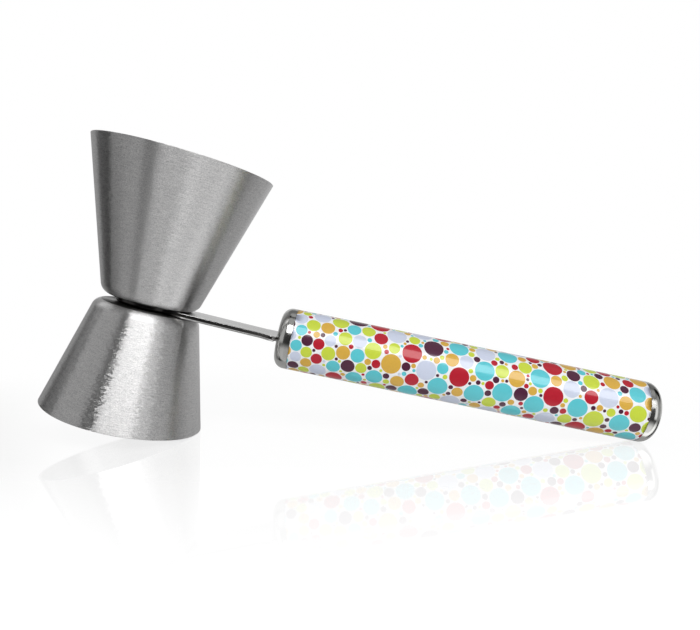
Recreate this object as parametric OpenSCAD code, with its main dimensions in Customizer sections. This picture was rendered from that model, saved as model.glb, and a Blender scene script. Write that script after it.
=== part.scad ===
// Double jigger: two drawn steel cups, base to base on the pad of a stamped
// arm, and a hollow handle wrapped in a printed sleeve.
// +Z is the cups' axis with the large cup up, +X runs out along the arm, and
// the origin is the centre of the small cup's rim, which is at Z = 0.

/* [Cups] */
// Outside diameter of the large cup's rim
large_rim_d = 50; // [48:0.5:54]
// Outside diameter of the large cup's base, measured to its sharp corner
large_base_d = 26.2; // [25:0.1:29]
// Height of the large cup
large_h = 40.5; // [38:0.5:44]
// Outside diameter of the small cup's rim
small_rim_d = 44.4; // [42:0.2:47]
// Outside diameter of the small cup's base, measured to its sharp corner
small_base_d = 28.3; // [26:0.1:30]
// Height of the small cup
small_h = 31; // [29:0.5:34]
// Outside radius of the corner between the large cup's base and its wall
large_corner_r = 3.4; // [2:0.1:3.8]
// Outside radius of the corner between the small cup's base and its wall
small_corner_r = 2.9; // [2:0.1:3.8]
// Sheet thickness of both cups
cup_wall = 0.6; // [0.5:0.05:0.9]

/* [Arm] */
// Thickness of the strip, which is also the gap between the cups
arm_t = 1.5; // [1.2:0.1:2]
// Width of the strip
arm_w = 13.5; // [11:0.5:14]
// Diameter of the round pad between the cups
pad_d = 18; // [16:0.5:20]
// Distance from the cups' axis to the front face of the handle
arm_reach = 37.4; // [34:0.2:44]
// Upward slope of the strip once it is clear of the cups
arm_rise = 1.2; // [0:0.1:2]
// Height of the handle's axis above the middle of the strip where they meet
handle_lift = 0.2; // [0:0.05:0.6]
// Width across the shoulders that stop the strip at the handle
shoulder_w = 15.6; // [14.5:0.1:16]
// Width of the tang inside the handle
tang_w = 11; // [8:0.5:11.5]
// Length of the tang inside the handle
tang_l = 13; // [10:0.5:20]

/* [Handle] */
// Outside diameter of the handle
handle_d = 17; // [16:0.5:19]
// Length of the handle over both caps
handle_l = 106.6; // [90:0.2:120]
// Upward slope of the handle
handle_rise = 3.25; // [0:0.05:4]
// Radius of the rounded edge at each end of the handle
end_r = 2.8; // [2:0.1:3.2]
// Length of bare steel at each end, from the end face to the sleeve
band_l = 3.9; // [3.4:0.1:6]
// Wall thickness of the steel tube under the sleeve
tube_wall = 0.8; // [0.6:0.1:1]
// Thickness of the printed sleeve
sleeve_t = 0.3; // [0.2:0.05:0.4]

/* [Hidden] */
$fn = 96;

// Stack along the cups' axis
pad_z = small_h;
large_z = small_h + arm_t;

// Rim edges are broken by a small chamfer on each side
rim_chamfer = 0.15;

// Three resistance welds through each cup's base
weld_count = 3;
weld_circle_r = 5.4;
weld_r = 1.3;
weld_depth = 0.3;
dimple_depth = 0.1;
dimple_r = 1.7;

// Arm: it bends once outside the cups' flat bases and once at the handle
bend_x = cone_flat_r(large_rim_d, large_base_d, large_h, large_corner_r) + 0.4;
strip_end_z = pad_z + arm_t / 2 + (arm_reach - bend_x) * tan(arm_rise);
axis_z = strip_end_z + handle_lift;
shoulder_l = 4.4;
shoulder_ramp = 2.2;
shoulder_gap = 0.1;

// Handle caps: a rounded head outside the tube and a skirt pressed into it
tube_r = handle_d / 2 - sleeve_t;
tube_in_r = tube_r - tube_wall;
skirt_l = 6;
cap_wall = 1;
cap_end_t = 1.2;
cap_inner_corner_r = 1.6;
slot_clearance = 0.05;
tang_weld_leg = 1.2;
tang_weld_l = 8;

// The sleeve is a rolled sheet whose edges meet along the underside
sleeve_end_gap = 0.08;
seam_gap = 0.2;

// Half angle of a cup's cone
function cone_angle(rim_d, base_d, h) = atan((rim_d - base_d) / 2 / h);

// From the sharp corner of the base to where its rounding of radius c starts
function tangent_l(rim_d, base_d, h, c) = c / tan(45 + cone_angle(rim_d, base_d, h) / 2);

// Radius of the flat part of a cup's base
function cone_flat_r(rim_d, base_d, h, c) = base_d / 2 - tangent_l(rim_d, base_d, h, c);

// Half section of a solid cup: a cone whose base corner is rounded
module cone_section(rim_d, base_d, h, c) {
    a = cone_angle(rim_d, base_d, h);
    t = tangent_l(rim_d, base_d, h, c);
    polygon([
        [0, 0],
        [base_d / 2 - t, 0],
        [base_d / 2 + t * sin(a), t * cos(a)],
        [rim_d / 2, h],
        [0, h]
    ]);
    translate([base_d / 2 - t, c]) circle(r = c);
}

// Half section of the hollow, kept one sheet thickness inside the cup's wall
module hollow_section(rim_d, base_d, h, c) {
    a = cone_angle(rim_d, base_d, h);
    side = cup_wall / cos(a);
    slope = (rim_d - base_d) / h;
    past_rim = 1;
    translate([0, cup_wall])
        cone_section(
            rim_d - 2 * side + slope * past_rim,
            base_d - 2 * side + slope * cup_wall,
            h - cup_wall + past_rim,
            c - cup_wall
        );
}

// Ring of small triangles that breaks both edges of a rim
module rim_chamfers(rim_d, base_d, h) {
    side = cup_wall / cos(cone_angle(rim_d, base_d, h));
    k = rim_chamfer;
    for (r = [rim_d / 2, rim_d / 2 - side])
        translate([r, h]) polygon([[-k, 0], [0, -k], [k, 0], [0, k]]);
}

// Places its children at each weld
module at_welds()
    for (i = [0 : weld_count - 1])
        rotate(60 + i * 360 / weld_count) translate([weld_circle_r, 0, 0]) children();

// Shallow mark that a welding electrode leaves in the floor of a cup
module electrode_dent() {
    ball_r = (pow(dimple_r, 2) + pow(dimple_depth, 2)) / (2 * dimple_depth);
    translate([0, 0, cup_wall - dimple_depth]) intersection() {
        translate([0, 0, ball_r]) sphere(r = ball_r);
        cylinder(r = 2 * dimple_r, h = 2 * dimple_depth);
    }
}

// Cup with its base at Z = 0 and its mouth up: pockets for the weld metal
// below its base, and the electrodes' dents on its floor
module drawn_cup(rim_d, base_d, h, c) {
    difference() {
        rotate_extrude() difference() {
            cone_section(rim_d, base_d, h, c);
            hollow_section(rim_d, base_d, h, c);
            rim_chamfers(rim_d, base_d, h);
        }
        at_welds() {
            cylinder(r = weld_r, h = weld_depth);
            electrode_dent();
        }
    }
}

module large_cup()
    color("#9a9a9a") translate([0, 0, large_z])
        drawn_cup(large_rim_d, large_base_d, large_h, large_corner_r);

module small_cup()
    color("#9f9f9f") translate([0, 0, pad_z]) mirror([0, 0, 1])
        drawn_cup(small_rim_d, small_base_d, small_h, small_corner_r);

// Weld metal that joins a cup's base to the pad, half in each
module weld_nuggets(z)
    color("#8c8c8c") at_welds() translate([0, 0, z - weld_depth]) cylinder(r = weld_r, h = 2 * weld_depth);

module upper_weld_spots() weld_nuggets(large_z);
module lower_weld_spots() weld_nuggets(pad_z);

// Outline of a bent strip of thickness t, seen from its side
function turn(p, q) = atan2(q[1] - p[1], q[0] - p[0]);
function normal(path, i) =
    let (
        n = len(path) - 1,
        before = turn(path[max(i - 1, 0)], path[max(i, 1)]),
        after = turn(path[min(i, n - 1)], path[min(i + 1, n)]),
        a = (before + after) / 2 + 90
    ) [cos(a), sin(a)] / cos((after - before) / 2);
function strip_outline(path, t) = concat(
    [for (i = [0 : len(path) - 1]) path[i] + normal(path, i) * t / 2],
    [for (i = [len(path) - 1 : -1 : 0]) path[i] - normal(path, i) * t / 2]
);

// Outline of the arm as it is stamped, seen from above
module arm_blank() {
    shoulder_x = arm_reach - shoulder_l;
    end_x = arm_reach - shoulder_gap;
    circle(d = pad_d);
    translate([0, -arm_w / 2]) square([shoulder_x + shoulder_ramp, arm_w]);
    polygon([
        [shoulder_x, -arm_w / 2],
        [shoulder_x + shoulder_ramp, -shoulder_w / 2],
        [end_x, -shoulder_w / 2],
        [end_x, shoulder_w / 2],
        [shoulder_x + shoulder_ramp, shoulder_w / 2],
        [shoulder_x, arm_w / 2]
    ]);
    translate([end_x - 1, -tang_w / 2]) square([tang_l + 1, tang_w]);
}

module arm() {
    mid_z = pad_z + arm_t / 2;
    past = 5;
    path = [
        [-pad_d / 2 - past, mid_z],
        [bend_x, mid_z],
        [arm_reach, strip_end_z],
        [arm_reach + tang_l + past, strip_end_z + (tang_l + past) * tan(handle_rise)]
    ];
    color("#b4b4b4") difference() {
        intersection() {
            rotate([90, 0, 0]) linear_extrude(2 * pad_d, center = true)
                polygon(strip_outline(path, arm_t));
            linear_extrude(pad_z + large_h) arm_blank();
        }
        weld_nuggets(large_z);
        weld_nuggets(pad_z);
    }
}

// Places its children on the handle: Z runs from its front face to its rear,
// and X points to its underside
module on_handle()
    translate([arm_reach, 0, axis_z]) rotate([0, 90 - handle_rise, 0]) children();

// Places its children about the tang, which lies below the handle's axis
module on_tang() translate([handle_lift * cos(handle_rise), 0, 0]) children();

// Half section of a cap: the rounded head stands outside the tube, and the
// skirt, which the tube is pressed over, reaches inside it
module cap_section() {
    r = handle_d / 2;
    hollow_r = tube_in_r - cap_wall;
    k = cap_inner_corner_r;
    difference() {
        union() {
            polygon([
                [0, 0],
                [r - end_r, 0],
                [r, end_r],
                [r, band_l],
                [tube_in_r, band_l],
                [tube_in_r, band_l + skirt_l],
                [0, band_l + skirt_l]
            ]);
            translate([r - end_r, end_r]) circle(r = end_r);
        }
        polygon([
            [-1, cap_end_t],
            [hollow_r - k, cap_end_t],
            [hollow_r, cap_end_t + k],
            [hollow_r, band_l + skirt_l + 1],
            [-1, band_l + skirt_l + 1]
        ]);
        translate([hollow_r - k, cap_end_t + k]) circle(r = k);
    }
}

module cap_body() rotate_extrude() intersection() {
    cap_section();
    square([handle_d, band_l + skirt_l]);
}

module front_cap()
    color("#c8c8c8") on_handle() difference() {
        cap_body();
        on_tang()
            cube([arm_t + 2 * slot_clearance, tang_w + 2 * slot_clearance, 3 * cap_end_t], center = true);
    }

module rear_cap()
    color("#c8c8c8") on_handle() translate([0, 0, handle_l]) mirror([0, 0, 1]) cap_body();

// Fillets that hold the tang to the inside of the front cap
module tang_welds()
    color("#8c8c8c") on_handle() on_tang() for (side = [0, 1]) mirror([side, 0, 0])
        translate([arm_t / 2, 0, cap_end_t]) rotate([90, 0, 0])
            linear_extrude(tang_weld_l, center = true)
                polygon([[0, 0], [tang_weld_leg, 0], [0, tang_weld_leg]]);

module handle_tube()
    color("#b0b0b0") on_handle() translate([0, 0, band_l]) difference() {
        cylinder(r = tube_r, h = handle_l - 2 * band_l);
        translate([0, 0, -1]) cylinder(r = tube_in_r, h = handle_l - 2 * band_l + 2);
    }

module printed_sleeve() {
    l = handle_l - 2 * band_l - 2 * sleeve_end_gap;
    color("#eef0f4") on_handle() translate([0, 0, band_l + sleeve_end_gap]) difference() {
        cylinder(d = handle_d, h = l);
        translate([0, 0, -1]) cylinder(r = tube_r, h = l + 2);
        translate([tube_r - 1, -seam_gap / 2, -1]) cube([sleeve_t + 2, seam_gap, l + 2]);
    }
}

large_cup();
small_cup();
arm();
upper_weld_spots();
lower_weld_spots();
front_cap();
tang_welds();
handle_tube();
rear_cap();
printed_sleeve();
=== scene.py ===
"""Looks of a double bar jigger: two brushed steel cups, base to base on a flat
strip arm, and a round handle in a glossy sleeve printed with dots."""

import math

import bpy
import numpy as np
from mathutils import Euler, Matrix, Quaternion, Vector
from mathutils.geometry import delaunay_2d_cdt


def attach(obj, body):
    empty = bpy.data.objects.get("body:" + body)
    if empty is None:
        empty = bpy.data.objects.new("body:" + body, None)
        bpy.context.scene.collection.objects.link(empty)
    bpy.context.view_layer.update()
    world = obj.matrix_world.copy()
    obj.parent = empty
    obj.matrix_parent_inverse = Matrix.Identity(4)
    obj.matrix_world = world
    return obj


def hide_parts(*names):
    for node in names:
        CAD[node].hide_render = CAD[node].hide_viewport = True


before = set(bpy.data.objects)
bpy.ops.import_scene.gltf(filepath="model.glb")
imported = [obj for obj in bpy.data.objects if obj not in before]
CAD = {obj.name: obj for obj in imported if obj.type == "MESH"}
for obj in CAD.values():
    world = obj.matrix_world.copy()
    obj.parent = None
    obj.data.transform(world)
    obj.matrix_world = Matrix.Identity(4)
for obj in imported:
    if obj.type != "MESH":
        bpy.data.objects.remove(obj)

for leftover in ("Cube", "Light", "Camera"):
    if leftover in bpy.data.objects:
        bpy.data.objects.remove(bpy.data.objects[leftover])
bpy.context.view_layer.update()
bpy.ops.object.select_all(action="DESELECT")

MM = 0.001

# Sizes shared with the part's source, in millimetres and degrees
PAD_Z = 31.75           # middle of the strip between the cups' bases
PAD_R = 9.0
ARM_REACH = 37.4        # the cups' axis to the handle's front face
HANDLE_RISE = 3.25
HANDLE_L = 106.6
HANDLE_R = 8.5
HANDLE_Z = 32.504       # the handle's axis at its front face
BAND_L = 3.9            # bare steel at each end
SLEEVE_T = 0.3
SLEEVE_GAP = 0.08       # between the sleeve and each cap
SEAM_GAP = 0.2          # along the sleeve's underside

# Edges of the strip, in millimetres
EDGE_ROLL = 0.7         # radius on the lower ones, from the die
EDGE_BREAK = 0.15       # and on the upper ones


# ---------------------------------------------------------------- colours

def linear(code):
    """Linear colour of an sRGB hex code such as '#c8203a'."""
    parts = [int(code[i:i + 2], 16) / 255 for i in (1, 3, 5)]
    return [c / 12.92 if c <= 0.04045 else ((c + 0.055) / 1.055) ** 2.4 for c in parts] + [1.0]


# ------------------------------------------------------------ shader nodes

def add(tree, kind, inputs=(), **settings):
    """Adds a shader node, with its settings and its values or links."""
    made = tree.nodes.new(kind)
    for name, value in settings.items():
        setattr(made, name, value)
    for name, value in dict(inputs).items():
        if isinstance(value, bpy.types.NodeSocket):
            tree.links.new(value, made.inputs[name])
        else:
            made.inputs[name].default_value = value
    return made


def math_node(tree, operation, a, b=0.0):
    return add(tree, "ShaderNodeMath", {0: a, 1: b}, operation=operation).outputs[0]


def vector_math(tree, operation, a, b=(0, 0, 0)):
    return add(tree, "ShaderNodeVectorMath", {0: a, 1: b}, operation=operation).outputs[0]


def scaled(tree, vector, factor):
    return add(tree, "ShaderNodeVectorMath", {0: vector, "Scale": factor}, operation="SCALE").outputs[0]


def length_of(tree, vector):
    return add(tree, "ShaderNodeVectorMath", {0: vector}, operation="LENGTH").outputs["Value"]


def noise(tree, at, scale=1.0, detail=2.0, roughness=0.5):
    inputs = {"Vector": at, "Scale": scale, "Detail": detail, "Roughness": roughness}
    return add(tree, "ShaderNodeTexNoise", inputs).outputs["Fac"]


def ramp(tree, value, start, end, low=0.0, high=1.0, **settings):
    """Goes from low to high while the value goes from start to end."""
    inputs = {"Value": value, "From Min": start, "From Max": end, "To Min": low, "To Max": high}
    return add(tree, "ShaderNodeMapRange", inputs, **settings).outputs[0]


def blend(tree, share, low, high):
    """Mix of two colours: low where the share is 0 and high where it is 1."""
    return add(tree, "ShaderNodeMix", {0: share, 6: low, 7: high}, data_type="RGBA").outputs[2]


def bump(tree, height, strength, distance):
    """Normals of a relief that is at most a distance in millimetres high."""
    inputs = {"Height": height, "Strength": strength, "Distance": distance * MM}
    return add(tree, "ShaderNodeBump", inputs).outputs[0]


def object_place(tree):
    return add(tree, "ShaderNodeTexCoord").outputs["Object"]


def shown(tree):
    """1 for what the camera sees, straight, mirrored or through something clear,
    and 0 for the light that it throws on other surfaces."""
    ray = add(tree, "ShaderNodeLightPath").outputs
    mirrored = math_node(tree, "MAXIMUM", ray["Is Glossy Ray"], ray["Is Transmission Ray"])
    return math_node(tree, "MAXIMUM", ray["Is Camera Ray"], mirrored)


def bare_material(name):
    """Material with an empty tree of nodes; returns both."""
    material = bpy.data.materials.new(name)
    material.use_nodes = True
    material.node_tree.nodes.clear()
    return material, material.node_tree


def new_material(name):
    """Material with one shader; returns it with its tree and its shader."""
    material, tree = bare_material(name)
    shader = add(tree, "ShaderNodeBsdfPrincipled")
    add(tree, "ShaderNodeOutputMaterial", {"Surface": shader.outputs["BSDF"]})
    return material, tree, shader


def glow_material(name, strength, attribute=None):
    """Material that only gives light, white or in the colours of an attribute."""
    material, tree = bare_material(name)
    colour = (1, 1, 1, 1)
    if attribute:
        colour = add(tree, "ShaderNodeAttribute", attribute_name=attribute).outputs["Color"]
    glow = add(tree, "ShaderNodeEmission", {"Color": colour, "Strength": strength}).outputs[0]
    add(tree, "ShaderNodeOutputMaterial", {"Surface": glow})
    return material


def connect(tree, shader, **sockets):
    """Links values to the shader's inputs, whose names have _ for a space."""
    for name, value in sockets.items():
        tree.links.new(value, shader.inputs[name.replace("_", " ")])


# -------------------------------------------------------------- materials

NOISE_LOW, NOISE_HIGH = 0.3, 0.7        # most of a noise texture lies between these

# Brushing on the cups. Grooves have this many noise cells to a radian round the
# cup and to a millimetre along its outline: 2.5 mm long and 0.3 mm across
GROOVES_ROUND = 8.0
GROOVES_ALONG = 3.3
# Grit of the wheel lies over them, in specks of 0.25 mm: cells to a groove
GRIT_CELLS = (9.0, 9.0, 1.3)
GROOVE_SHARE, GRIT_SHARE = 0.4, 0.6
WORN_LOW, WORN_HIGH = 0.32, 0.68
CUP_SMOOTHEST, CUP_ROUGHEST = 0.32, 0.38
SIDE_LEAN = 0.5                         # of the lights' direction, to a unit of height
# Each groove leans sideways by up to so many radians, in cells to a metre
LEAN_CELLS = (1100, 1100, 4200)
LEAN_SMALL_CUP, LEAN_LARGE_CUP = 0.06, 0.04
# Painted shade darkens the joint between the cups round a height over the pad's middle,
# in millimetres: it is full within the first distance above and below it, and gone beyond the second
JOINT_MIDDLE = 0.125
JOINT_SHADE_FULL, JOINT_SHADE_END = 0.95, 1.1

# Strip: brushed lines in cells to a metre, and distances from the cups' axis
# within which it is painted dark, as painted shade in the joint, in millimetres
STRIP_LINES = (170, 5000, 5000)
STRIP_SHADE_FULL, STRIP_SHADE_END = 10.5, 12.0
# upright part of the normal on a blanked edge, and on a brushed face; the edges
# are painted darker, partly for their duller finish and partly as painted shade
STRIP_EDGE, STRIP_FACE = 0.15, 0.5

CAP_LINES = (4000, 60, 60)              # turning lines in cells to a metre


def around_axis(tree):
    """Object coordinates as turned work has them: the direction out from the
    axis, the height over the pad's middle, and the distance run from there along
    the outline, both in millimetres."""
    place = object_place(tree)
    flat = vector_math(tree, "MULTIPLY", place, (1, 1, 0))
    out = vector_math(tree, "NORMALIZE", flat)
    height = add(tree, "ShaderNodeSeparateXYZ", {0: place}).outputs["Z"]
    above = math_node(tree, "SUBTRACT", height, PAD_Z * MM)
    run = math_node(tree, "ADD", math_node(tree, "ABSOLUTE", above), length_of(tree, flat))
    return out, math_node(tree, "MULTIPLY", above, 1000.0), math_node(tree, "MULTIPLY", run, 1000.0)


def groove_normals(tree, out, above):
    """Normals of grooves that lean a little sideways, more so on the small cup,
    which frays the edges of the lights."""
    cells = vector_math(tree, "MULTIPLY", object_place(tree), LEAN_CELLS)
    lean = ramp(tree, noise(tree, cells, detail=1.0), NOISE_LOW, NOISE_HIGH, -1.0, 1.0)
    widest = ramp(tree, above, -1.0, 1.0, LEAN_SMALL_CUP, LEAN_LARGE_CUP)
    sideways = vector_math(tree, "CROSS_PRODUCT", (0, 0, 1), out)
    leaning = scaled(tree, sideways, math_node(tree, "MULTIPLY", lean, widest))
    normals = add(tree, "ShaderNodeNewGeometry").outputs["Normal"]
    return vector_math(tree, "NORMALIZE", vector_math(tree, "ADD", normals, leaning))


def along_outline(tree, out, above):
    """Tangents that run up each cup's side, across the grooves, so that lights
    stretch that way."""
    upright = add(tree, "ShaderNodeCombineXYZ", {"Z": math_node(tree, "SIGN", above)}).outputs[0]
    return vector_math(tree, "ADD", scaled(tree, out, SIDE_LEAN), upright)


def brushed_cup_steel():
    """304 stainless, deep drawn, then brushed while it turns: fine grooves run
    round the cup, so lights stretch along it into streaks with frayed edges. The
    joint between the cups is painted dark, as painted shade."""
    material, tree, shader = new_material("brushed_304_stainless_cups")
    out, above, run = around_axis(tree)
    up = math_node(tree, "MULTIPLY", run, GROOVES_ALONG)
    up = add(tree, "ShaderNodeCombineXYZ", {"Z": up}).outputs[0]
    cells = vector_math(tree, "ADD", scaled(tree, out, GROOVES_ROUND), up)
    grooves = noise(tree, cells, detail=3.0, roughness=0.65)
    grit = noise(tree, vector_math(tree, "MULTIPLY", cells, GRIT_CELLS), detail=1.0)
    worn = math_node(tree, "ADD", math_node(tree, "MULTIPLY", grooves, GROOVE_SHARE),
                     math_node(tree, "MULTIPLY", grit, GRIT_SHARE))
    worn = ramp(tree, worn, WORN_LOW, WORN_HIGH)
    tone = blend(tree, worn, linear("#adadae"), linear("#e6e5e4"))
    # painted shade: the colour goes dark in the joint between the cups
    depth = math_node(tree, "ABSOLUTE", math_node(tree, "SUBTRACT", above, JOINT_MIDDLE))
    outside_painted_shade = ramp(tree, depth, JOINT_SHADE_FULL, JOINT_SHADE_END)
    tone = blend(tree, outside_painted_shade, linear("#4a4948"), tone)
    rough = ramp(tree, grooves, NOISE_LOW, NOISE_HIGH, CUP_SMOOTHEST, CUP_ROUGHEST)
    connect(tree, shader, Base_Color=tone, Roughness=rough,
            Normal=groove_normals(tree, out, above), Tangent=along_outline(tree, out, above))
    shader.inputs["Metallic"].default_value = 1.0
    shader.inputs["Anisotropic"].default_value = 1.0
    return material


def satin_arm_steel():
    """304 strip, blanked and lightly brushed along its length: a soft satin face,
    with painted shade where it runs into the joint between the cups, and blanked
    edges painted darker, partly for their duller finish and partly as painted shade."""
    material, tree, shader = new_material("satin_304_stainless_strip")
    place = object_place(tree)
    # lines 6 mm long and 0.2 mm apart
    lines_at = add(tree, "ShaderNodeMapping", {"Vector": place, "Scale": STRIP_LINES}).outputs[0]
    lines = noise(tree, lines_at)
    tone = blend(tree, lines, linear("#c8c8c8"), linear("#dededd"))
    # the blanked edges are darker than the brushed faces: partly their duller sheared finish, partly painted
    # shade on the strip's sides
    normal = add(tree, "ShaderNodeTexCoord").outputs["Normal"]
    upward = math_node(tree, "ABSOLUTE", add(tree, "ShaderNodeSeparateXYZ", {0: normal}).outputs["Z"])
    brushed = ramp(tree, upward, STRIP_EDGE, STRIP_FACE)
    tone = blend(tree, brushed, linear("#8b8987"), tone)
    # painted shade: the colour goes dark where the strip runs into the joint between the cups
    from_axis = length_of(tree, vector_math(tree, "MULTIPLY", place, (1, 1, 0)))
    outside_painted_shade = ramp(tree, from_axis, STRIP_SHADE_FULL * MM, STRIP_SHADE_END * MM)
    tone = blend(tree, outside_painted_shade, linear("#3a3938"), tone)
    connect(tree, shader, Base_Color=tone, Roughness=ramp(tree, lines, 0.0, 1.0, low=0.14, high=0.24),
            Normal=bump(tree, lines, 0.2, 0.02))
    shader.inputs["Metallic"].default_value = 1.0
    shader.inputs["Anisotropic"].default_value = 0.5
    return material


def polished_cap_steel():
    """304 caps, turned and polished: crisp bands of light with faint turning lines."""
    material, tree, shader = new_material("polished_304_stainless_caps")
    place = object_place(tree)
    smears = noise(tree, place, scale=300.0, detail=3.0)
    turned = {"Vector": place, "Rotation": (0, math.radians(HANDLE_RISE), 0), "Scale": CAP_LINES}
    lines = noise(tree, add(tree, "ShaderNodeMapping", turned).outputs[0], detail=1.0)
    tone = blend(tree, smears, linear("#c4c4c0"), linear("#d4d4d2"))
    connect(tree, shader, Base_Color=tone, Roughness=ramp(tree, smears, 0.0, 1.0, low=0.1, high=0.2),
            Normal=bump(tree, lines, 0.15, 0.01))
    shader.inputs["Metallic"].default_value = 1.0
    return material


def plain_steel(name, light, dark, roughness):
    """Steel as it comes off the machine, such as drawn tube or weld metal."""
    material, tree, shader = new_material(name)
    grain = noise(tree, object_place(tree), scale=900.0, detail=4.0)
    connect(tree, shader, Base_Color=blend(tree, grain, linear(dark), linear(light)),
            Normal=bump(tree, grain, 0.3, 0.05))
    shader.inputs["Metallic"].default_value = 1.0
    shader.inputs["Roughness"].default_value = roughness
    return material


def printed_film():
    """White PVC film, screen printed and rolled round the tube under a clear gloss:
    flat inks, a hard clear reflection and a very slight ripple."""
    material, tree, shader = new_material("printed_glossy_pvc_film")
    ink = add(tree, "ShaderNodeAttribute", attribute_name="ink").outputs["Color"]
    place = object_place(tree)
    # ink lies slightly uneven, in spots of about 0.5 mm
    shade = ramp(tree, noise(tree, place, scale=2000.0), 0.0, 1.0, low=0.93, high=1.03)
    ripple = bump(tree, noise(tree, place, scale=120.0, detail=1.0), 0.2, 0.1)
    connect(tree, shader, Base_Color=scaled(tree, ink, shade), Normal=ripple, Coat_Normal=ripple)
    shader.inputs["Roughness"].default_value = 0.3
    shader.inputs["IOR"].default_value = 1.53
    # film and gloss are both plastic, so hardly any light turns back between them
    shader.inputs["Specular IOR Level"].default_value = 0.1
    shader.inputs["Coat Weight"].default_value = 0.6
    shader.inputs["Coat Roughness"].default_value = 0.04
    shader.inputs["Coat IOR"].default_value = 1.46
    return material


# ---------------------------------------------------------- printed sleeve

INKS = {
    "turquoise": linear("#57bac4"), "lime": linear("#bac940"), "lavender": linear("#bfc6d8"),
    "crimson": linear("#aa1d2d"), "amber": linear("#c9a043"), "plum": linear("#4b2238"),
}
WHITE = linear("#e1e2e5")
# radius in mm, how many, how far off its neighbours at most (0 packs it into a
# corner between two of them), and how often each ink comes up at that size
DOT_SIZES = (
    (2.7, 50, 2.4, (7, 3, 6, 5, 2, 2)),
    (2.3, 50, 1.1, (6, 5, 4, 4, 4, 1)),
    (1.9, 105, 0.0, (3, 7, 3, 3, 5, 1)),
    (1.55, 130, 0.0, (3, 5, 2, 4, 5, 3)),
    (1.2, 190, 0.0, (3, 4, 1, 4, 4, 6)),
    (0.9, 260, 0.0, (4, 3, 0, 5, 4, 6)),
    (0.65, 500, 0.0, (4, 3, 0, 5, 3, 5)),
    (0.45, 600, 0.0, (3, 3, 1, 3, 2, 3)),
)
DOT_GAP = 0.14          # white between two dots, at least
DOT_GRID = 0.12         # spacing of the places that are tried
DOT_START = -1.46       # the first place and the last one, off the sheet's edges
DOT_END = 1.5
DOT_REACH = 6.5         # a dot takes up room no further off than this
SAME_INK_GAP = 0.8      # dots closer than this don't share an ink
FAR = 9.0               # room before the first dot
TAKEN = 99.0            # marks a place where the dot doesn't fit
DOT_SEED = 20
# corners on the outline of a dot that is smaller than a radius in mm
DOT_SIDES = ((0.6, 14), (1.0, 20), (2.0, 32), (math.inf, 48))

CUTS = 90               # the sheet is cut along into so many strips, so it rolls up round
SAME_SPOT = 1e-4        # points closer than this are one


def place_for(radius, off, nearest, second, any_placed, rng):
    """Number of a grid place where a dot fits, or None: a random one for a dot
    that may lie off its neighbours, else the tightest corner between two."""
    fits = nearest >= radius + DOT_GAP
    if off:
        if any_placed:
            fits &= nearest <= radius + DOT_GAP + off
        places = np.flatnonzero(fits)
        return int(rng.choice(places)) if len(places) else None
    tightest = int(np.argmin(np.where(fits, nearest + second, TAKEN)))
    return tightest if fits.flat[tightest] else None


def pack_dots(width, length, rng):
    """Dots of falling size: the large ones scattered, the rest packed into the
    corners between two others, each in an ink that its neighbours don't have.
    Keeps each place's distances to the nearest dot and to the second nearest."""
    across = np.arange(DOT_START, width + DOT_END, DOT_GRID)
    along = np.arange(DOT_START, length + DOT_END, DOT_GRID)
    nearest = np.full((len(across), len(along)), FAR)
    second = nearest.copy()
    placed, inks, names = [], [], list(INKS)
    for radius, count, off, odds in DOT_SIZES:
        for _ in range(count):
            place = place_for(radius, off, nearest, second, bool(placed), rng)
            if place is None:
                break
            i, j = np.unravel_index(place, nearest.shape)
            u, v = across[i], along[j]
            touching = {ink for (x, y, r), ink in zip(placed, inks)
                        if math.hypot(u - x, v - y) < radius + r + SAME_INK_GAP}
            free = [0 if name in touching else odd for name, odd in zip(names, odds)]
            weights = np.array(free if any(free) else odds, float)
            placed.append((u, v, radius))
            inks.append(names[rng.choice(len(names), p=weights / weights.sum())])
            reach = int((radius + DOT_REACH) / DOT_GRID)
            at = (slice(max(i - reach, 0), i + reach), slice(max(j - reach, 0), j + reach))
            room = np.hypot(across[at[0], None] - u, along[None, at[1]] - v) - radius
            second[at] = np.minimum(second[at], np.maximum(nearest[at], room))
            nearest[at] = np.minimum(nearest[at], room)
    return np.array(placed), inks


def clipped(points, width, length):
    """Part of a convex outline that lies on the sheet."""
    for axis, limit, keep_low in ((0, 0.0, False), (0, width, True), (1, 0.0, False), (1, length, True)):
        kept = []
        for here, after in zip(points, points[1:] + points[:1]):
            inside = here[axis] <= limit if keep_low else here[axis] >= limit
            inside_after = after[axis] <= limit if keep_low else after[axis] >= limit
            if inside:
                kept.append(here)
            if inside != inside_after:
                part = (limit - here[axis]) / (after[axis] - here[axis])
                kept.append(tuple(h + part * (a - h) for h, a in zip(here, after)))
        points = kept
        if not points:
            break
    return points


def dot_sides(radius):
    """Corners on a dot's outline, enough to make it look round."""
    return next(sides for limit, sides in DOT_SIDES if radius < limit)


def ink_at(spot, dots, inks):
    """Ink of the dot whose outline has the spot inside, or the film's white."""
    gone = np.hypot(spot.x - dots[:, 0], spot.y - dots[:, 1])
    best = int(np.argmin(gone - dots[:, 2]))
    u, v, radius = dots[best]
    half = math.pi / dot_sides(radius)
    off = math.atan2(spot.y - v, spot.x - u) % (2 * half) - half
    return INKS[inks[best]] if gone[best] * math.cos(off) < radius * math.cos(half) else WHITE


def on_handle(s, turn, radius):
    """Point in the part's frame: s mm from the handle's front face, turned from
    the underside, at a radius."""
    rise = math.radians(HANDLE_RISE)
    down = radius * math.cos(turn)
    return Vector((
        ARM_REACH + s * math.cos(rise) + down * math.sin(rise),
        radius * math.sin(turn),
        HANDLE_Z + s * math.sin(rise) - down * math.cos(rise),
    )) * MM


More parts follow.
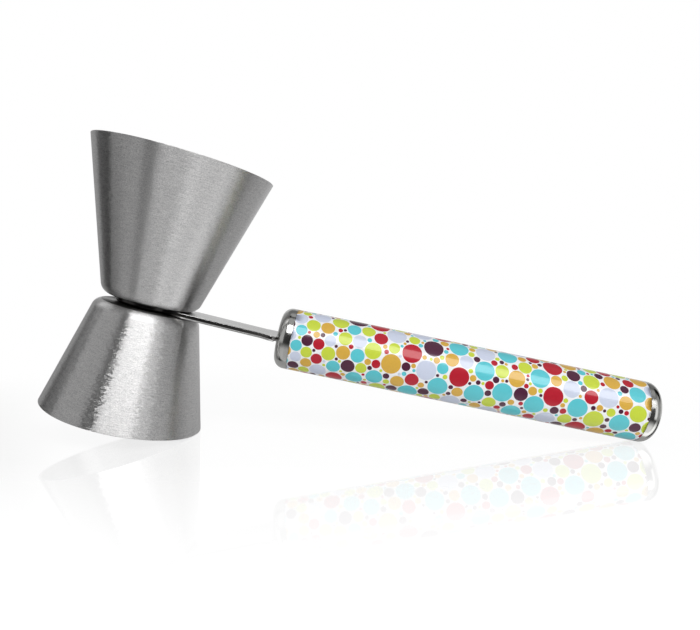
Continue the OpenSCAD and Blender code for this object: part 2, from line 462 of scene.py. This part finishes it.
def cut_lines(dots, width, length):
    """Points and edges of all cuts in the flat sheet: its border's corners, every
    dot's outline and the straight cuts."""
    points = [Vector(c) for c in ((0, 0), (width, 0), (width, length), (0, length))]
    edges = []
    for u, v, radius in dots:
        sides = dot_sides(radius)
        turns = [k * math.tau / sides for k in range(sides)]
        outline = clipped([(u + radius * math.cos(t), v + radius * math.sin(t)) for t in turns],
                          width, length)
        if len(outline) > 2:
            first = len(points)
            edges += [(first + k, first + (k + 1) % len(outline)) for k in range(len(outline))]
            points += [Vector(p) for p in outline]
    for k in range(1, CUTS):
        edges.append((len(points), len(points) + 1))
        points += [Vector((width * k / CUTS, 0)), Vector((width * k / CUTS, length))]
    return points, edges


def plain_back(flat, width, length):
    """The sheet's back, which has only the border's points: their numbers on the
    front, the border's edges, and the faces, which look the other way."""
    rim = [i for i, p in enumerate(flat) if min(p.x, width - p.x, p.y, length - p.y) < SAME_SPOT]
    points = [flat[i] for i in rim]
    order = sorted(range(len(rim)), key=lambda i: math.atan2(
        (points[i].y - length / 2) / length, (points[i].x - width / 2) / width))
    border = [(order[i], order[(i + 1) % len(order)]) for i in range(len(order))]
    cuts = []
    for k in range(1, CUTS):
        ends = [i for i, p in enumerate(points) if abs(p.x - width * k / CUTS) < SAME_SPOT]
        cuts.append((ends[0], ends[-1]))
    _, _, cells, came_from, _, _ = delaunay_2d_cdt(points, border + cuts, [], 1, SAME_SPOT)
    return rim, border, [[came_from[i][0] for i in reversed(cell)] for cell in cells]


def round_the_handle(verts):
    """Direction out from the handle's axis at each point."""
    face = on_handle(0, 0, 0)
    line = np.array(on_handle(1, 0, 0) - face) / MM
    rolled = np.array([v - face for v in verts])
    outward = rolled - np.outer(rolled @ line, line)
    return outward / np.linalg.norm(outward, axis=1)[:, None]


def printed_sleeve():
    """The printed sheet, cut flat along every dot's outline, rolled round the
    tube and given its thickness. Hand tools can't cut so many outlines."""
    start = BAND_L + SLEEVE_GAP
    length = HANDLE_L - 2 * start
    width = 2 * math.pi * HANDLE_R - SEAM_GAP
    dots, inks = pack_dots(width, length, np.random.default_rng(DOT_SEED))
    points, edges = cut_lines(dots, width, length)
    flat, _, cells, _, _, _ = delaunay_2d_cdt(points, edges, [[0, 1, 2, 3]], 1, SAME_SPOT)
    rim, border, back = plain_back(flat, width, length)

    def roll(p, radius):
        return on_handle(start + p.y, (p.x + SEAM_GAP / 2) / HANDLE_R, radius)

    verts = [roll(p, HANDLE_R) for p in flat] + [roll(flat[i], HANDLE_R - SLEEVE_T) for i in rim]
    count = len(flat)
    outer = [tuple(cell) for cell in cells]
    inner = [tuple(count + i for i in face) for face in back]
    sides = [(rim[a], rim[b], count + b, count + a) for a, b in border]
    mesh = bpy.data.meshes.new("printed_sleeve_film")
    mesh.from_pydata(verts, [], outer + inner + sides)
    mesh.update()
    colours = [ink_at(sum((flat[i] for i in cell), Vector((0, 0))) / len(cell), dots, inks) for cell in cells]
    colours += [WHITE] * (len(inner) + len(sides))
    ink = mesh.attributes.new("ink", "FLOAT_COLOR", "CORNER")
    ink.data.foreach_set("color", np.repeat(
        np.array(colours), [p.loop_total for p in mesh.polygons], axis=0).ravel())
    # round where it is round, square at the cut edges
    outward = round_the_handle(verts)
    normals = [outward[i] for face in outer for i in face]
    normals += [-outward[i] for face in inner for i in face]
    normals += [face.normal for face in mesh.polygons[len(outer) + len(inner):] for _ in face.vertices]
    mesh.shade_smooth()
    mesh.normals_split_custom_set(normals)
    piece = bpy.data.objects.new("printed_sleeve_film", mesh)
    bpy.context.scene.collection.objects.link(piece)
    return piece


# ------------------------------------------------------------------- strip

LEVEL = 0.2             # an edge that rises less than this is level
SHARP = 1.0             # radians between an edge's two faces, at least
LOWER = -0.5            # a face whose normal falls more than this is a lower one
OUTER = 0.95            # within this part of the pad's radius only the weld pits have edges
ROLL_STEPS = 5


def long_edge(mesh, edge, sides, low):
    """Whether an edge is one of the strip's outer sharp ones, on its lower or its
    upper face."""
    a, b = (mesh.vertices[i].co for i in edge.vertices)
    normals = sides[edge.key]
    outside = min(a.xy.length, b.xy.length) > PAD_R * MM * OUTER
    level = abs((a - b).normalized().z) < LEVEL
    sharp = len(normals) == 2 and normals[0].angle(normals[1]) > SHARP
    return outside and level and sharp and (min(n.z for n in normals) < LOWER) == low


def arm_strip():
    """The stamped strip: the die rolls its lower edges round, and tumbling takes
    the burr off the upper ones."""
    bpy.ops.object.select_all(action="DESELECT")
    CAD["arm"].select_set(True)
    bpy.context.view_layer.objects.active = CAD["arm"]
    bpy.ops.object.duplicate()
    strip = bpy.context.object
    strip.name = "arm_strip"
    bpy.ops.mesh.customdata_custom_splitnormals_clear()
    bpy.ops.object.mode_set(mode="EDIT")
    bpy.ops.mesh.select_all(action="SELECT")
    bpy.ops.mesh.remove_doubles(threshold=0.001 * MM)
    bpy.ops.mesh.dissolve_limited(angle_limit=math.radians(0.5))
    bpy.ops.mesh.select_all(action="DESELECT")
    bpy.ops.object.mode_set(mode="OBJECT")
    mesh = strip.data
    mesh.update()
    sides = {}
    for face in mesh.polygons:
        for pair in face.edge_keys:
            sides.setdefault(pair, []).append(face.normal)
    for low, weight in ((True, 1.0), (False, EDGE_BREAK / EDGE_ROLL)):
        for edge in mesh.edges:
            edge.select = long_edge(mesh, edge, sides, low)
        bpy.ops.object.mode_set(mode="EDIT")
        bpy.ops.transform.edge_bevelweight(value=weight)
        bpy.ops.mesh.select_all(action="DESELECT")
        bpy.ops.object.mode_set(mode="OBJECT")
    bpy.ops.object.shade_smooth()
    rolled = strip.modifiers.new("rolled_edges", "BEVEL")
    rolled.limit_method = "WEIGHT"
    rolled.width = EDGE_ROLL * MM
    rolled.segments = ROLL_STEPS
    rolled.use_clamp_overlap = False
    rolled.harden_normals = True
    bpy.ops.object.modifier_apply(modifier=rolled.name)
    bpy.ops.object.select_all(action="DESELECT")
    return strip


strip = arm_strip()
strip.data.materials.clear()
strip.data.materials.append(satin_arm_steel())
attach(strip, "root")
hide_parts("arm")

film = printed_sleeve()
film.data.materials.append(printed_film())
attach(film, "root")
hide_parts("printed_sleeve")

# ------------------------------------------------------- carried-over nodes

CUP_STEEL = brushed_cup_steel()
WELD_STEEL = plain_steel("weld_metal", "#a8a49c", "#8a8274", 0.45)
CAP_STEEL = polished_cap_steel()
FINISHES = {
    "large_cup": CUP_STEEL,
    "small_cup": CUP_STEEL,
    "upper_weld_spots": WELD_STEEL,
    "lower_weld_spots": WELD_STEEL,
    "tang_welds": WELD_STEEL,
    "front_cap": CAP_STEEL,
    "rear_cap": CAP_STEEL,
    "handle_tube": plain_steel("drawn_steel_tube", "#bcbcba", "#a9a9a7", 0.35),
}
for name, finish in FINISHES.items():
    for slot in CAD[name].material_slots:
        slot.material = finish

# ------------------------------------------------------------------ camera

# The photograph's camera, found by fitting the part's outline to the picture's
FOCAL_LENGTH = 649.59           # pixels, in a picture of this width
PICTURE_WIDTH = 700.0
SENSOR = 36.0
CAMERA_AT = (0.05391, -0.18157, 0.05375)
# turn from looking level along +Y: its axis, as long as its angle in radians
CAMERA_SWING = Vector((-0.057, -0.261, 0.001))

lens_data = bpy.data.cameras.new("camera")
lens_data.sensor_width = SENSOR
lens_data.sensor_fit = "HORIZONTAL"
lens_data.lens = FOCAL_LENGTH * SENSOR / PICTURE_WIDTH
lens_data.clip_start, lens_data.clip_end = 0.01, 50.0
camera = bpy.data.objects.new("camera", lens_data)
bpy.context.scene.collection.objects.link(camera)
camera.location = CAMERA_AT
camera.rotation_mode = "QUATERNION"
camera.rotation_quaternion = (
    Quaternion(CAMERA_SWING.normalized(), CAMERA_SWING.length) @ Euler((math.pi / 2, 0, 0)).to_quaternion())
bpy.context.scene.camera = camera

# ------------------------------------------------------------------- stage

FLOOR_SIZE = 0.6
FLOOR_TILT = math.radians(14.04)
FLOOR_AT = Vector((22.15, 0, 0)) * MM       # the rim's lowest edge
FLOOR_MIDDLE = (0.06, -0.02, 0.02)          # the table fades out round this point
FLOOR_WHITE = 1.15                          # strength of the white that the camera sees
FLOOR_SHARE = 0.9                           # the rest is lit, and takes the shadow
FLOOR_MIRROR_Y = (-0.12, -0.03)             # it mirrors least and most from here on
FLOOR_MIRROR = (0.02, 0.25)
FLOOR_FADE = (0.10, 0.2)                    # radii where it starts to fade and is gone


def pale_floor():
    """White acrylic table. It lies on the slope where the jigger rests, on the
    small rim's edge and the handle's far end, and mirrors it faintly."""
    bpy.ops.mesh.primitive_plane_add(size=FLOOR_SIZE, location=(0, 0, 0))
    floor = bpy.context.object
    floor.name = "floor"
    floor.rotation_euler = (0, -FLOOR_TILT, 0)
    floor.location = FLOOR_AT
    bpy.ops.object.transform_apply(location=True, rotation=True, scale=True)
    material, tree = bare_material("white_acrylic_table")
    place = object_place(tree)
    lit = add(tree, "ShaderNodeBsdfDiffuse", {"Color": (0.9, 0.9, 0.9, 1)}).outputs[0]
    white = add(tree, "ShaderNodeEmission", {"Color": (1, 1, 1, 1), "Strength": FLOOR_WHITE}).outputs[0]
    share = math_node(tree, "MULTIPLY", shown(tree), FLOOR_SHARE)
    table = add(tree, "ShaderNodeMixShader", {0: share, 1: lit, 2: white}).outputs[0]
    # the mirror image fades towards the camera
    mirror = add(tree, "ShaderNodeBsdfGlossy", {"Color": (1, 1, 1, 1), "Roughness": 0.03}).outputs[0]
    near = add(tree, "ShaderNodeSeparateXYZ", {0: place}).outputs["Y"]
    fade = ramp(tree, near, *FLOOR_MIRROR_Y, *FLOOR_MIRROR)
    table = add(tree, "ShaderNodeMixShader", {0: fade, 1: table, 2: mirror}).outputs[0]
    # the table fades into the white background before it ends
    reach = length_of(tree, vector_math(tree, "SUBTRACT", place, FLOOR_MIDDLE))
    there = ramp(tree, reach, *FLOOR_FADE, 1.0, 0.0, interpolation_type="SMOOTHSTEP")
    clear = add(tree, "ShaderNodeBsdfTransparent").outputs[0]
    table = add(tree, "ShaderNodeMixShader", {0: there, 1: clear, 2: table}).outputs[0]
    add(tree, "ShaderNodeOutputMaterial", {"Surface": table})
    floor.data.materials.append(material)
    floor.visible_glossy = False
    return floor


pale_floor()

# Cards that stand round the table, seen only in reflections: a dark room
# behind the camera, the table's own light, and black flags at both sides
STUDIO_CENTRE = Vector((0.05, 0, 0.035))
CARD_RADIUS = 1.2
# azimuth from and to, elevation from and to, brightness, softness of the sides
# and of the upper and lower edges, all in degrees; a later card lies over an
# earlier one
ROOM = 0.2
CARDS = (
    (-180, 180, -90, -14, 0.43, 6, 20),     # the table, all round
    (27, 124, -8, 30, 0.63, 10, 10),        # back wall, in two stretches
    (124, 152, -12, 40, 0.38, 8, 10),
    (-178, 8, -90, 27, 0.04, 4, 4),         # dark room behind the camera
    (-176, -126, -16, 40, 0.54, 6, 10),     # reflector on the left
    (-124, -106, -40, 60, 0.06, 4, 10),     # flag beside the softbox
    (-54, -30, -8, 50, 1.1, 5, 6),          # reflectors on the right
    (-30, 6, -8, 50, 0.38, 6, 6),
    (-170, -100, -90, -26, 0.58, 8, 28),    # the table in front, lit from the right
    (-100, -70, -90, -26, 0.55, 16, 28),
    (-70, -28, -90, -26, 1.08, 16, 28),
    (-28, 6, -90, -16, 1.55, 10, 24),
    (146, 173, 14, 60, 1.35, 6, 8),         # on the left, a narrow light over a flag
    (153, 182, -90, 14, 0.0, 6, 8),
    (7, 26, -4, 22, 0.8, 6, 8),             # on the right, a narrow light between flags
    (5, 36, 22, 60, 0.0, 6, 8),
    (5, 22, -46, -4, 0.0, 4, 8),
    (-180, 180, 60, 90, 0.45, 8, 8),        # ceiling, and its dark left end
    (140, 180, 46, 90, 0.0, 8, 8),
)


def smooth(x):
    """Goes smoothly from 0 to 1 while x does."""
    x = min(max(x, 0.0), 1.0)
    return x * x * (3 - 2 * x)


def card_light(azimuth, elevation):
    """Brightness of the room in a direction."""
    value = ROOM
    for a0, a1, e0, e1, shade, side_soft, edge_soft in CARDS:
        middle, half = (a0 + a1) / 2, (a1 - a0) / 2
        off = abs((azimuth - middle + 180) % 360 - 180)
        within = smooth((half - off) / side_soft + 0.5) if half < 180 else 1.0
        within *= smooth((elevation - e0) / edge_soft + 0.5) if e0 > -90 else 1.0
        within *= smooth((e1 - elevation) / edge_soft + 0.5) if e1 < 90 else 1.0
        value += (shade - value) * within
    return value


def only_in_reflections(thing):
    thing.visible_camera = thing.visible_diffuse = thing.visible_shadow = False
    thing.visible_transmission = thing.visible_volume_scatter = False


def studio_cards():
    """All cards as one sphere round the table, its faces inwards."""
    bpy.ops.mesh.primitive_uv_sphere_add(
        segments=180, ring_count=90, radius=CARD_RADIUS, location=STUDIO_CENTRE)
    cards = bpy.context.object
    cards.name = "studio_cards"
    bpy.ops.object.mode_set(mode="EDIT")
    bpy.ops.mesh.select_all(action="SELECT")
    bpy.ops.mesh.flip_normals()
    bpy.ops.object.mode_set(mode="OBJECT")
    bpy.ops.object.transform_apply(location=True, rotation=True, scale=True)
    light = cards.data.attributes.new("light", "FLOAT_COLOR", "POINT")
    for vertex, entry in zip(cards.data.vertices, light.data):
        way = (vertex.co - STUDIO_CENTRE).normalized()
        value = card_light(math.degrees(math.atan2(way.y, way.x)), math.degrees(math.asin(way.z)))
        entry.color = (value, value, value, 1)
    cards.data.materials.append(glow_material("studio_cards", 1.0, "light"))
    only_in_reflections(cards)


studio_cards()


def softbox(azimuth, elevation, distance, wide, high, light, shine):
    """Rectangular softbox aimed at the jigger: a lamp that lights it, behind a
    brighter face that only reflections see."""
    lamp = bpy.data.lights.new("key_softbox", "AREA")
    lamp.shape = "RECTANGLE"
    lamp.size, lamp.size_y = wide, high
    lamp.energy = light * math.pi * wide * high
    box = bpy.data.objects.new("key_softbox", lamp)
    bpy.context.scene.collection.objects.link(box)
    box.visible_glossy = False
    a, e = math.radians(azimuth), math.radians(elevation)
    way = Vector((math.cos(a) * math.cos(e), math.sin(a) * math.cos(e), math.sin(e)))
    box.rotation_mode = "QUATERNION"
    box.rotation_quaternion = way.to_track_quat("Z", "Y")
    box.location = STUDIO_CENTRE + way * distance
    bpy.ops.mesh.primitive_plane_add(size=1)
    face = bpy.context.object
    face.name = "softbox_face"
    face.scale = (wide, high, 1)
    face.rotation_mode = "QUATERNION"
    face.rotation_quaternion = box.rotation_quaternion
    face.location = box.location
    bpy.ops.object.transform_apply(location=True, rotation=True, scale=True)
    face.data.materials.append(glow_material("softbox_face", shine))
    only_in_reflections(face)


softbox(azimuth=-84.6, elevation=42.5, distance=0.7, wide=0.62, high=0.36, light=5.2, shine=6.2)

FILL = 0.52             # the white room's light on the object; the camera sees it at 1

world = bpy.data.worlds.new("studio")
bpy.context.scene.world = world
world.use_nodes = True
sky = world.node_tree
sky.nodes.clear()
fill = ramp(sky, shown(sky), 0.0, 1.0, FILL, 1.0)
room = add(sky, "ShaderNodeBackground", {"Color": (1, 1, 1, 1), "Strength": fill}).outputs[0]
add(sky, "ShaderNodeOutputWorld", {"Surface": room})

bpy.context.scene.view_settings.view_transform = "Standard"
